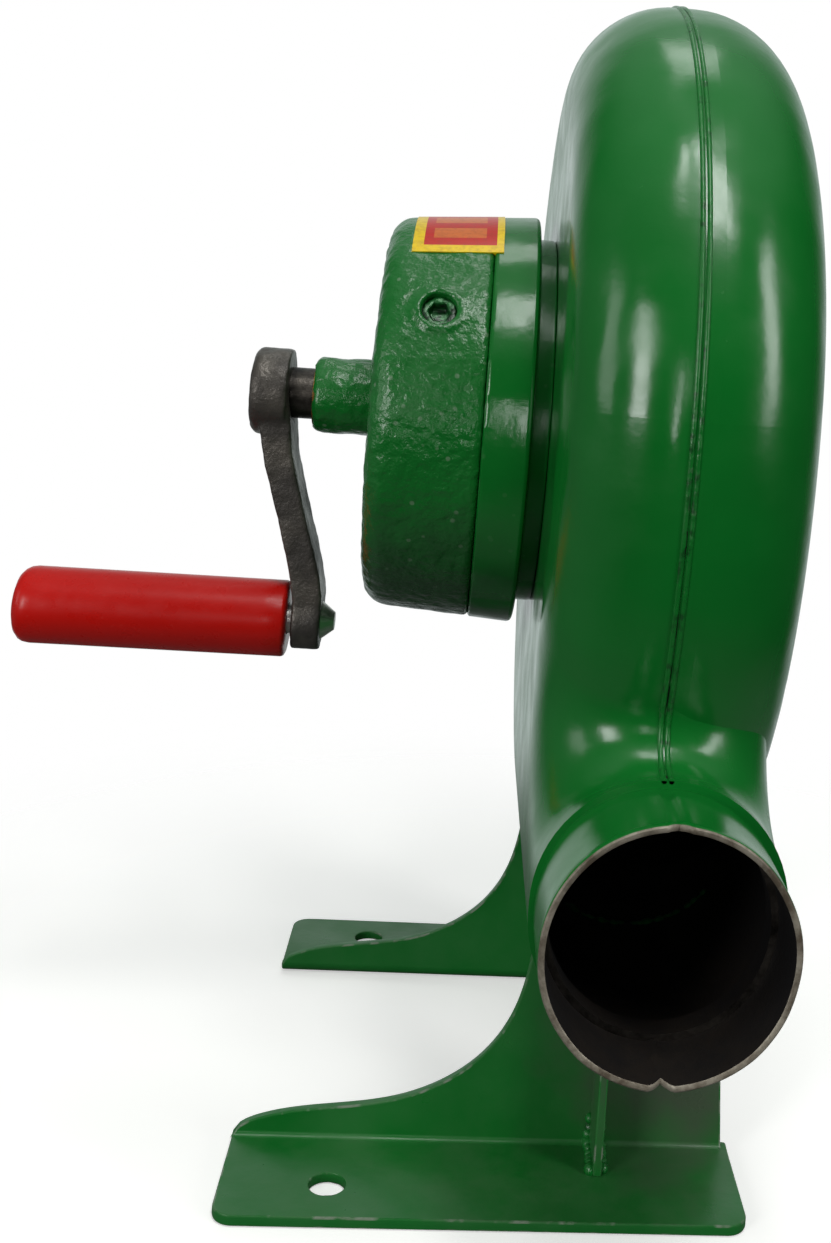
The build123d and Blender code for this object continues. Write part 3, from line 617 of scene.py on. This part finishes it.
def run_tree(name, kind):
    """Geometry Nodes for a run of weld that follows a path: a row of ripples, or two ground ridges.

    Inputs: Geometry, Pitch (distance along the path), Radius, Gap (ridges only), Seed, Material.
    """
    tree = bpy.data.node_groups.new(name, "GeometryNodeTree")
    make = tree.interface.new_socket
    make("Geometry", in_out="INPUT", socket_type="NodeSocketGeometry")
    for label, socket_type in (("Pitch", "NodeSocketFloat"), ("Radius", "NodeSocketFloat"),
                               ("Gap", "NodeSocketFloat"), ("Seed", "NodeSocketInt"),
                               ("Material", "NodeSocketMaterial")):
        make(label, in_out="INPUT", socket_type=socket_type)
    make("Geometry", in_out="OUTPUT", socket_type="NodeSocketGeometry")
    entry = add_node(tree, "NodeGroupInput").outputs
    path = add_node(tree, "GeometryNodeMeshToCurve", {"Mesh": entry["Geometry"]})
    even = add_node(tree, "GeometryNodeResampleCurve", {"Curve": path.outputs[0], "Length": entry["Pitch"]},
                    mode="LENGTH")
    if kind == "ripples":
        size = add_node(tree, "FunctionNodeRandomValue", {2: 0.82, 3: 1.15, "Seed": entry["Seed"]}, data_type="FLOAT")
        scale = add_node(tree, "ShaderNodeMath", {0: size.outputs[1], 1: entry["Radius"]}, operation="MULTIPLY")
        turn = add_node(tree, "FunctionNodeRandomValue", {0: (0, 0, 0), 1: (6.28, 6.28, 6.28),
                                                          "Seed": entry["Seed"]}, data_type="FLOAT_VECTOR")
        shift = add_node(tree, "FunctionNodeRandomValue", {0: (-0.25 * MM,) * 3, 1: (0.25 * MM,) * 3,
                                                           "Seed": entry["Seed"]}, data_type="FLOAT_VECTOR")
        moved = add_node(tree, "GeometryNodeSetPosition", {"Geometry": even.outputs[0], "Offset": shift.outputs[0]})
        drop = add_node(tree, "GeometryNodeMeshIcoSphere", {"Radius": 1.0, "Subdivisions": 2})
        shape = add_node(tree, "GeometryNodeInstanceOnPoints",
                         {"Points": moved.outputs[0], "Instance": drop.outputs[0], "Rotation": turn.outputs[0],
                          "Scale": scale.outputs[0]})
    else:
        profile = add_node(tree, "GeometryNodeCurvePrimitiveCircle", {"Resolution": 10, "Radius": entry["Radius"]})
        wobble = add_node(tree, "ShaderNodeTexNoise", {"Scale": 220.0, "Detail": 2.0})
        thick = add_node(tree, "ShaderNodeMapRange", {0: wobble.outputs[0], 1: 0.3, 2: 0.7, 3: 0.72, 4: 1.18})
        shape = add_node(tree, "GeometryNodeJoinGeometry")
        for side in (-1, 1):
            away = add_node(tree, "ShaderNodeMath", {0: entry["Gap"], 1: float(side)}, operation="MULTIPLY")
            offset = add_node(tree, "ShaderNodeCombineXYZ", {0: away.outputs[0]})
            place = add_node(tree, "GeometryNodeSetPosition", {"Geometry": even.outputs[0],
                                                               "Offset": offset.outputs[0]})
            sized = add_node(tree, "GeometryNodeSetCurveRadius", {"Curve": place.outputs[0],
                                                                  "Radius": thick.outputs[0]})
            ridge = add_node(tree, "GeometryNodeCurveToMesh", {"Curve": sized.outputs[0],
                                                               "Profile Curve": profile.outputs[0],
                                                               "Fill Caps": True})
            tree.links.new(ridge.outputs[0], shape.inputs[0])
    real = add_node(tree, "GeometryNodeRealizeInstances", {0: shape.outputs[0]})
    round_off = add_node(tree, "GeometryNodeSetShadeSmooth", {0: real.outputs[0]})
    coated = add_node(tree, "GeometryNodeSetMaterial", {0: round_off.outputs[0], "Material": entry["Material"]})
    add_node(tree, "NodeGroupOutput", {0: coated.outputs[0]})
    return tree


def weld_runs(name, paths, kind, material, **values):
    """Plain mesh of the weld runs along the paths, each a list of points."""
    points, edges = [], []
    for path in paths:
        edges += [(len(points) + i, len(points) + i + 1) for i in range(len(path) - 1)]
        points += [tuple(p) for p in path]
    mesh = bpy.data.meshes.new(name + "_paths")
    mesh.from_pydata(points, edges, [])
    carrier = add_object(name + "_paths", mesh)
    modifier = carrier.modifiers.new(kind, "NODES")
    modifier.node_group = run_tree(name + "_" + kind, kind)
    values.update(Seed=sizes().seed, Material=finish(material))
    for item in modifier.node_group.interface.items_tree:
        if item.in_out == "INPUT" and item.name in values:
            modifier[item.identifier] = values[item.name]
    return add_object(name, evaluated_mesh(carrier))


class BLOWER_OT_seam(bpy.types.Operator):
    """Build the ground weld along the joint of the scroll's halves"""
    bl_idname = "blower.seam"
    bl_label = "Seam weld"

    def execute(self, context):
        size = sizes()
        sunk = 0.1 * MM
        path = [Vector((SEAM_X, y - ny * sunk, z - nz * sunk)) for (y, z), (ny, nz) in scroll_edge(2 * MM)]
        piece = weld_runs("ground_seam", [path], "ridges", "seam_enamel", Pitch=1.2 * MM, Radius=size.seam_radius,
                          Gap=size.seam_gap)
        finish_piece(piece, "housing", "green_enamel", ("seam_enamel",), "seam_bead")
        return {"FINISHED"}


# ---------------------------------------------------------------- outlet and feet
def lathe(name, axis_point, axis, rows, segments, reshape):
    """Turned mesh round an axis along X or Y.

    rows is a list of (along, radius, material) in order round the section, the material being that of the
    band that starts there. reshape takes (along, radius, angle) and gives the moved (along, radius).
    """
    bm = bmesh.new()
    rings = []
    for along, radius, _ in rows:
        ring = []
        for k in range(segments):
            angle = 2 * math.pi * k / segments
            a, r = reshape(along, radius, angle)
            first, second = r * math.cos(angle), r * math.sin(angle)
            ring.append(bm.verts.new(axis_point + (Vector((a, first, second)) if axis == "X"
                                                   else Vector((first, a, second)))))
        rings.append(ring)
    for lower, upper, (_, _, material) in zip(rings, rings[1:] + rings[:1], rows):
        for k in range(segments):
            j = (k + 1) % segments
            face = bm.faces.new((lower[k], lower[j], upper[j], upper[k]))
            face.material_index = material
    bmesh.ops.recalc_face_normals(bm, faces=bm.faces)
    mesh = mesh_from_bmesh(bm, name)
    smooth(mesh, 40)
    return add_object(name, mesh)


class BLOWER_OT_sleeve(bpy.types.Operator):
    """Build the outlet sleeve with its rubbed rim and the notches at the seam"""
    bl_idname = "blower.sleeve"
    bl_label = "Outlet sleeve"

    def execute(self, context):
        notch = sizes().notch
        start, outer, inner = NECK_END, SLEEVE_R, SLEEVE_R - SLEEVE_WALL
        rows = [(start + (SLEEVE_END - start) * k / 9, outer, 0) for k in range(9)]
        rows += [(SLEEVE_END + 0.9 * MM, outer, 0), (SLEEVE_END + 0.35 * MM, outer - 0.12 * MM, 1),
                 (SLEEVE_END + 0.05 * MM, outer - 0.45 * MM, 1), (SLEEVE_END + 0.05 * MM, inner + 0.35 * MM, 1),
                 (SLEEVE_END + 0.3 * MM, inner + 0.05 * MM, 2)]
        # the inner wall carries the third material, painted shade
        rows += [(SLEEVE_END + 2 * MM + (start - SLEEVE_END - 2 * MM) * k / 6, inner, 2) for k in range(7)]

        def worn(along, radius, angle):
            """Notches at the top and bottom of the rim, and a rim that isn't quite round or flat."""
            near_end = max(0.0, 1 - (along - SLEEVE_END) / (7 * MM))
            for seam in (math.pi / 2, 3 * math.pi / 2):
                turn = abs(angle - seam)
                along += notch * max(0.0, 1 - turn / math.radians(5.5)) * near_end
                radius -= 0.5 * MM * math.exp(-(turn / math.radians(2.2)) ** 2)
            place = Vector((math.cos(angle), math.sin(angle), 0))
            along += 0.30 * MM * near_end * abs(lumps(place, 0.35, sizes().seed))
            return along, radius + 0.18 * MM * near_end * lumps(place, 0.5, sizes().seed + 3)

        piece = lathe("rolled_sleeve", Vector((SEAM_X, 0, NECK_Z)), "Y", rows, 180, worn)
        finish_piece(piece, "housing", "green_enamel", ("gloss_enamel", "bare_rim", "airway_painted_shade"), "outlet_sleeve")
        return {"FINISHED"}


def edged_copy(node, name, edge):
    """Copy of a CAD node with rounded edges, whose faces carry the second material."""
    bm = merged_copy(node)
    bmesh.ops.dissolve_limit(bm, angle_limit=math.radians(0.6), verts=bm.verts, edges=bm.edges)
    mesh = mesh_from_bmesh(bm, name)
    smooth(mesh, 32)
    carrier = add_object(name + "_carrier", mesh)
    bevel = carrier.modifiers.new("edges", "BEVEL")
    bevel.width = edge
    bevel.segments = 2
    bevel.limit_method = "ANGLE"
    bevel.angle_limit = math.radians(40)
    bevel.use_clamp_overlap = False
    bevel.material = 1
    carrier.data.materials.clear()
    carrier.data.materials.append(finish("foot_enamel"))
    carrier.data.materials.append(finish("edge_enamel"))
    mesh = evaluated_mesh(carrier)
    smooth(mesh, 40)
    piece = add_object(name, mesh)
    even_normals(piece)
    return piece


class BLOWER_OT_feet(bpy.types.Operator):
    """Round the edges of the folded feet and the gusset"""
    bl_idname = "blower.feet"
    bl_label = "Feet and gusset"

    def execute(self, context):
        for node in ("front_foot", "rear_foot", "foot_gusset"):
            piece = edged_copy(node, "folded_" + node, sizes().edge)
            finish_piece(piece, "housing", "green_enamel", ("foot_enamel", "edge_enamel"), node)
        return {"FINISHED"}


class BLOWER_OT_welds(bpy.types.Operator):
    """Lay the fillet welds that hold the feet and the gusset"""
    bl_idname = "blower.welds"
    bl_label = "Foot welds"

    def execute(self, context):
        size = sizes()

        def rim_depth(u, straight, radius):
            """How far a rim has drawn in at a distance u from the seam, past its straight band."""
            over = max(0.0, abs(u) - straight)
            return radius - math.sqrt(max(0.0, radius ** 2 - over ** 2))

        def under_neck(u):
            return NECK_Z - NECK_R + rim_depth(u, (1 if u > 0 else 0.5) * MM, 27 * MM)

        def under_back(u):
            depth = rim_depth(u, 4.5 * MM, 28 * MM) if u > 0 else rim_depth(u, 0.5 * MM, 27 * MM)
            return BACK_Z - math.sqrt((BACK_R - depth) ** 2 - web ** 2)

        low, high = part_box("foot_gusset")
        web = -high.y                                               # distance of either web from the middle
        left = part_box("front_foot")[0].x + 73 * MM - SEAM_X         # where the front web meets the neck
        right = 21 * MM
        steps = 30
        spread = [left + (right - left) * k / steps for k in range(steps + 1)]
        front = [Vector((SEAM_X + u, -web - 0.4 * MM, under_neck(u) - 0.2 * MM)) for u in spread]
        rear = [Vector((SEAM_X + u, web + 0.4 * MM, under_back(u) - 0.2 * MM)) for u in spread]
        tacks = []
        for x in (low.x - 0.2 * MM, high.x + 0.2 * MM):
            tacks.append([Vector((x, -web - 0.5 * MM, 3.5 * MM)), Vector((x, -web - 0.5 * MM, 9 * MM))])
            tacks.append([Vector((x, -web - 2 * MM, 3.2 * MM)), Vector((x, low.y + 2 * MM, 3.2 * MM))])
        for name, paths, radius in (("fillet_welds", [front, rear], size.weld_radius),
                                    ("gusset_tacks", tacks, size.weld_radius * 0.75)):
            piece = weld_runs(name, paths, "ripples", "seam_enamel", Pitch=size.weld_pitch, Radius=radius)
            finish_piece(piece, "housing", "green_enamel", ("seam_enamel",))
        return {"FINISHED"}


# ---------------------------------------------------------------- gear case
def cast_copy(node, name, voxel, lump, outside, relax):
    """Copy of a CAD node as a sand casting: edges softened relax times, and lumps of height lump.

    outside(point) says how much of the lumps' height a point gets, from 0 to 1.
    """
    mesh = mesh_from_bmesh(merged_copy(node), name)
    if "custom_normal" in mesh.attributes:
        mesh.attributes.remove(mesh.attributes["custom_normal"])
    carrier = add_object(name + "_carrier", mesh)
    remesh = carrier.modifiers.new("skin", "REMESH")
    remesh.mode = "VOXEL"
    remesh.voxel_size = voxel
    mesh = evaluated_mesh(carrier)
    bm = bmesh.new()
    bm.from_mesh(mesh)
    for _ in range(relax):
        bmesh.ops.smooth_vert(bm, verts=bm.verts, factor=0.5, use_axis_x=True, use_axis_y=True, use_axis_z=True)
    bm.normal_update()
    seed = sizes().seed
    moves = []
    for vert in bm.verts:
        amount = outside(vert.co)
        height = (0.55 * lumps(vert.co, 7 * MM, seed) + 0.6 * lumps(vert.co, 3.4 * MM, seed + 1)
                  + 0.35 * lumps(vert.co, 1.9 * MM, seed + 2)) if amount else 0.0
        moves.append(vert.normal * (lump * amount * height))
    for vert, move in zip(bm.verts, moves):
        vert.co += move
    mesh = mesh_from_bmesh(bm, name)
    mesh.shade_smooth()
    return add_object(name, mesh)


class BLOWER_OT_gear_case(bpy.types.Operator):
    """Build the turned case base and the rough cast cover"""
    bl_idname = "blower.gear_case"
    bl_label = "Gear case"

    def execute(self, context):
        size = sizes()

        def rough(point):
            """Lumps on the outside only, strongest on the boss and calmer towards the joint."""
            away = math.hypot(point.y, point.z - FAN_Z)
            if away < 50.5 * MM and point.x > -2 * MM:
                return 0.0
            calm = min(1.0, max(0.15, (point.x + 14 * MM) / (-18 * MM) + 1.0))
            return max(0.25, min(1.0, 0.35 + calm))

        cover = cast_copy("gear_case_cover", "cast_cover", size.casting_voxel, size.casting_lump, rough, 3)
        finish_piece(cover, "housing", "green_casting", ("casting_enamel",), "gear_case_cover")
        plug = cast_copy("filler_plug", "flooded_plug", 0.3 * MM, 0.45 * MM, lambda point: 1.0, 3)
        finish_piece(plug, "housing", "green_casting", ("socket_steel",), "filler_plug")
        base = edged_copy("gear_case_base", "turned_base", 0.6 * MM)
        finish_piece(base, "housing", "green_casting", ("base_enamel", "base_enamel"), "gear_case_base")
        return {"FINISHED"}


# ---------------------------------------------------------------- crank
class BLOWER_OT_crank(bpy.types.Operator):
    """Build the cast crank arm and the moulded grip"""
    bl_idname = "blower.crank"
    bl_label = "Crank arm and grip"

    def execute(self, context):
        arm = cast_copy("crank_arm", "cast_arm", 0.5 * MM, 0.22 * MM, lambda point: 1.0, 6)
        finish_piece(arm, "crank", "black_iron", ("arm_iron",), "crank_arm")
        low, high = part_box("grip")
        r, bore = (high.z - low.z) / 2, 4.3 * MM
        left, right = low.x, high.x
        rows = [(left, 4.6 * MM, 0), (left + 0.25 * MM, 6.6 * MM, 0), (left + 0.9 * MM, 8.4 * MM, 0),
                (left + 1.9 * MM, 9.6 * MM, 0), (left + 3.1 * MM, 10.25 * MM, 0), (left + 4.6 * MM, r, 0)]
        rows += [(left + (right - left) * k / 12, r, 0) for k in range(1, 12)]
        rows += [(right - 1.0 * MM, r, 0), (right - 0.35 * MM, r - 0.3 * MM, 0), (right, r - 1.0 * MM, 0),
                 (right, bore, 0), (left + 2 * MM, bore, 0), (left + 2 * MM, 4.6 * MM, 0)]

        def mould_line(along, radius, angle):
            if radius < 9 * MM:
                return along, radius
            side = min(abs(angle - a) for a in (math.radians(62), math.radians(242)))
            return along, radius - 0.14 * MM + 0.14 * MM * math.exp(-(side / math.radians(1.6)) ** 2)

        grip = lathe("moulded_grip", Vector((0, 0, GRIP_Z)), "X", rows, 144, mould_line)
        finish_piece(grip, "grip_body", "red_plastic", ("grip_plastic",), "grip")
        return {"FINISHED"}


class BLOWER_OT_carried_finishes(bpy.types.Operator):
    """Give the shafts, gears, fasteners, fan and label their finishes"""
    bl_idname = "blower.carried_finishes"
    bl_label = "Finishes of the other pieces"

    def execute(self, context):
        chosen = {"inlet_lip": "gloss_enamel", "name_label": "printed_film", "grip_pin": "plated_steel",
                  "crank_shaft": "oiled_steel", "arm_washer": "oiled_steel", "fan_hub": "die_cast",
                  "crank_bush": "bush_bronze", "fan_bush_inner": "bush_bronze", "fan_bush_outer": "bush_bronze",
                  "cover_screws": "oiled_steel"}
        for node, piece in frame["nodes"].items():
            material = chosen.get(node, "turned_steel")
            if node.startswith(("fan_blade", "fan_back", "fan_front")):
                material = "zinc_sheet"
            for slot in piece.material_slots:
                slot.material = finish(material)
        return {"FINISHED"}


# ---------------------------------------------------------------- stage
def soft_box(name, towards, azimuth, elevation, distance, width, height, power):
    """Area light that looks at a point from a direction: azimuth from the outlet's side towards the inlet's."""
    data = bpy.data.lights.new(name, "AREA")
    data.shape = "RECTANGLE"
    data.size, data.size_y, data.energy = width, height, power
    a, e = math.radians(azimuth), math.radians(elevation)
    away = Vector((math.sin(a) * math.cos(e), -math.cos(a) * math.cos(e), math.sin(e)))
    lamp = add_object(name, data)
    lamp.visible_camera = False
    turn = away.to_track_quat("Z", "Y").to_matrix().to_4x4()
    lamp.matrix_world = Matrix.Translation(towards + away * distance) @ turn


class BLOWER_OT_stage(bpy.types.Operator):
    """Lay the floor and set the lights and the camera"""
    bl_idname = "blower.stage"
    bl_label = "Floor, lights and camera"

    def execute(self, context):
        scene = context.scene
        mesh = bpy.data.meshes.new("studio_floor")
        left, right, half, level = -0.5, 0.6, 0.5, -0.0002
        corners = [(left, -half, level), (right, -half, level), (right, half, level), (left, half, level)]
        mesh.from_pydata(corners, [], [(0, 1, 2, 3)])
        floor = add_object("studio_floor", mesh)
        mesh.materials.append(finish("studio_floor"))

        middle = Vector((SEAM_X - 10 * MM, -70 * MM, 190 * MM))
        soft_box("overhead_strip", middle, 19, 60, 1.1, 0.14, 0.60, 3.6)
        soft_box("overhead_left", middle, -14, 66, 1.1, 0.14, 0.30, 1.3)
        soft_box("level_strip", middle, -7, 1, 1.1, 0.05, 0.30, 0.45)
        soft_box("left_front", middle, -44, 9, 1.1, 0.30, 0.46, 4.2)
        soft_box("right_side", middle, 56, 18, 1.1, 0.24, 0.76, 4.2)
        soft_box("left_side", middle, -80, 10, 1.4, 0.40, 0.6, 1.6)
        soft_box("back_top", middle, 178, 69, 1.3, 0.4, 0.4, 1.4)

        world = bpy.data.worlds.new("studio")
        scene.world = world
        world.use_nodes = True
        tree = world.node_tree
        tree.nodes.clear()
        # round the paint the room is dim, and pale overhead, behind the object and far to its left
        around = add_node(tree, "ShaderNodeTexCoord")
        parts = add_node(tree, "ShaderNodeSeparateXYZ", {0: around.outputs["Generated"]})
        glow = 0.02
        for axis, start, end, amount in ((2, 0.40, 1.0, 0.45), (1, 0.55, 1.0, 0.75), (0, -0.6, -1.0, 0.14)):
            part = add_node(tree, "ShaderNodeMapRange", {0: parts.outputs[axis], 1: start, 2: end, 3: 0.0, 4: amount},
                            interpolation_type="SMOOTHSTEP")
            glow = add_node(tree, "ShaderNodeMath", {0: glow, 1: part.outputs[0]}, operation="ADD").outputs[0]
        ray = add_node(tree, "ShaderNodeLightPath")
        room = add_node(tree, "ShaderNodeBackground", {"Color": (0.88, 0.97, 0.96, 1), "Strength": glow})
        backdrop = add_node(tree, "ShaderNodeBackground", {"Color": (1, 1, 1, 1), "Strength": 1.0})
        both = add_node(tree, "ShaderNodeMixShader", {0: ray.outputs["Is Camera Ray"], 1: room.outputs[0],
                                                      2: backdrop.outputs[0]})
        add_node(tree, "ShaderNodeOutputWorld", {"Surface": both.outputs[0]})
        scene.view_settings.view_transform = "Standard"

        data = bpy.data.cameras.new("camera")
        data.sensor_width, data.lens = 36, 41.99
        data.shift_x, data.shift_y = -0.1516, -0.2570
        data.clip_start = 0.01
        camera = add_object("camera", data)
        yaw, roll = math.radians(5), math.radians(4.4)
        ahead = Vector((math.sin(yaw), math.cos(yaw), 0))
        right = Vector((math.cos(yaw), -math.sin(yaw), 0))
        up = Vector((0, 0, 1))
        tilted_right = right * math.cos(roll) + up * math.sin(roll)
        tilted_up = up * math.cos(roll) - right * math.sin(roll)
        turn = Matrix((tilted_right, tilted_up, -ahead)).transposed().to_4x4()
        camera.matrix_world = Matrix.Translation((0.019, -0.407, 0.213)) @ turn
        scene.camera = camera
        return {"FINISHED"}


class BLOWER_PT_panel(bpy.types.Panel):
    """Sizes, colours and building steps of the blower"""
    bl_idname = "BLOWER_PT_panel"
    bl_label = "Forge blower"
    bl_space_type = "VIEW_3D"
    bl_region_type = "UI"
    bl_category = "Blower"

    def draw(self, context):
        for group in (context.scene.blower_sizes, context.scene.blower_colours):
            box = self.layout.box()
            for key in group.bl_rna.properties.keys():
                if key not in ("rna_type", "name"):
                    box.prop(group, key)
        for operator in OPERATORS:
            self.layout.operator(operator.bl_idname)


OPERATORS = (BLOWER_OT_carried_finishes, BLOWER_OT_scroll, BLOWER_OT_seam, BLOWER_OT_sleeve, BLOWER_OT_feet,
             BLOWER_OT_welds, BLOWER_OT_gear_case, BLOWER_OT_crank, BLOWER_OT_stage)
CLASSES = (BlowerSizes, BlowerColours) + OPERATORS + (BLOWER_PT_panel,)


def register():
    for cls in CLASSES:
        bpy.utils.register_class(cls)
    bpy.types.Scene.blower_sizes = PointerProperty(type=BlowerSizes)
    bpy.types.Scene.blower_colours = PointerProperty(type=BlowerColours)


def unregister():
    del bpy.types.Scene.blower_sizes
    del bpy.types.Scene.blower_colours
    for cls in reversed(CLASSES):
        bpy.utils.unregister_class(cls)


def main():
    register()
    for operator in OPERATORS:
        getattr(bpy.ops.blower, operator.bl_idname.split(".")[1])()


if __name__ == "__main__":
    main()
